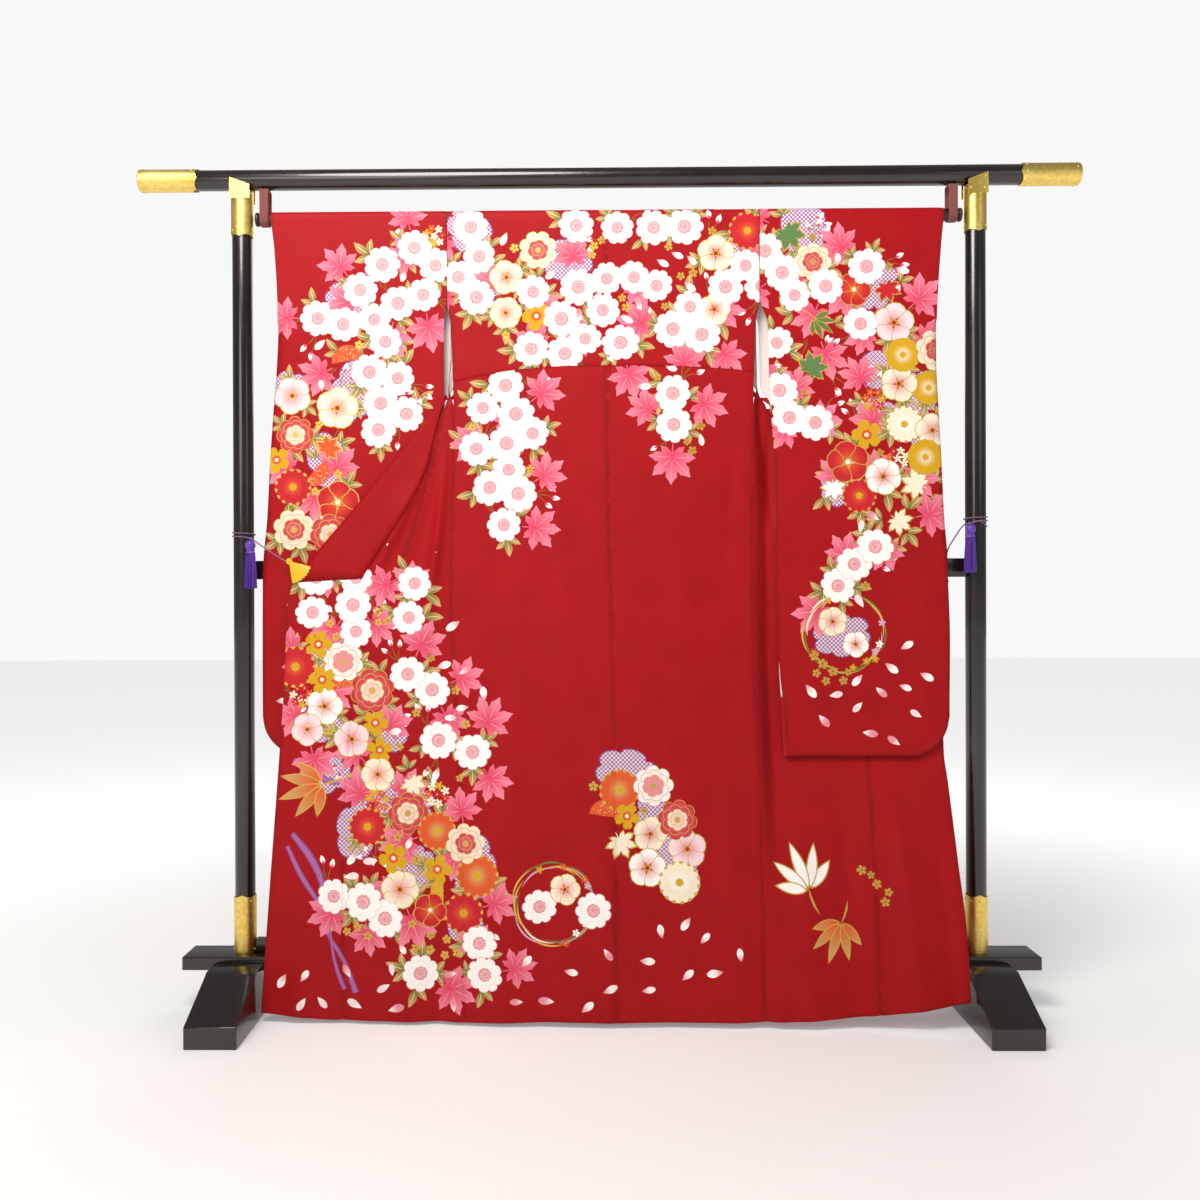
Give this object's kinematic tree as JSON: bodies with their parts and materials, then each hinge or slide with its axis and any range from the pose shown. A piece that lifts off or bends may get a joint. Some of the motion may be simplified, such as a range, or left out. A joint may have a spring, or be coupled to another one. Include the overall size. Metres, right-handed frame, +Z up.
{
  "type": "furisode kimono on a lacquered kimono stand",
  "caption": "Long-sleeved red kimono with a flower and leaf print, hung by its sleeves from a black lacquered stand and seen from the back, fronts drawn outwards.",
  "frame": {"origin": "on the floor, below the middle of the stand", "axes": "+X along the stand to the viewer's right, +Y away from the viewer through the hung cloth, +Z up; the kimono's back faces -Y"},
  "size_m": [1.921, 0.48, 1.7226],
  "materials": {
    "lacquer": "glossy black-brown lacquer on wood",
    "gilt_fitting": "gilt brass sheet, hammered, semi-gloss",
    "rod_black": "satin black paint",
    "strap_cloth": "woven reddish-brown strap, matte",
    "printed_silk": "red crepe with a dyed flower print, soft sheen",
    "plain_silk": "plain red crepe, soft sheen",
    "lining_silk": "white plain-weave lining, soft",
    "tie_cord": "thin braided cord, soft sheen",
    "tassel_silk": "purple silk thread, soft sheen",
    "fan_clip": "yellow moulded plastic, semi-gloss"
  },
  "bodies": {
    "root": {"foot_left": "lacquer", "foot_right": "lacquer", "base_board": "lacquer", "low_rail": "lacquer", "mid_rail": "lacquer", "post_left": "lacquer", "post_right": "lacquer", "top_bar": "lacquer", "ferrule_low_left": "gilt_fitting", "ferrule_low_right": "gilt_fitting", "ferrule_up_left": "gilt_fitting", "ferrule_up_right": "gilt_fitting", "bar_cap_left": "gilt_fitting", "bar_cap_right": "gilt_fitting", "hang_rod": "rod_black", "rod_cap_left": "rod_black", "rod_cap_right": "rod_black", "strap_left": "strap_cloth", "strap_right": "strap_cloth", "body_left": "printed_silk", "body_right": "printed_silk", "shoulder_left": "printed_silk", "shoulder_right": "printed_silk", "front_left": "printed_silk", "front_right": "printed_silk", "overlap_left": "printed_silk", "overlap_right": "printed_silk", "sleeve_left": "printed_silk", "sleeve_right": "printed_silk", "sleeve_front_left": "printed_silk", "sleeve_front_right": "printed_silk", "collar": "plain_silk", "tie_cord_left": "tie_cord", "tie_cord_right": "tie_cord", "tassel_left": "tassel_silk", "tassel_right": "tassel_silk", "fan_clip_left": "fan_clip", "fan_clip_right": "fan_clip"}
  },
  "joints": []
}
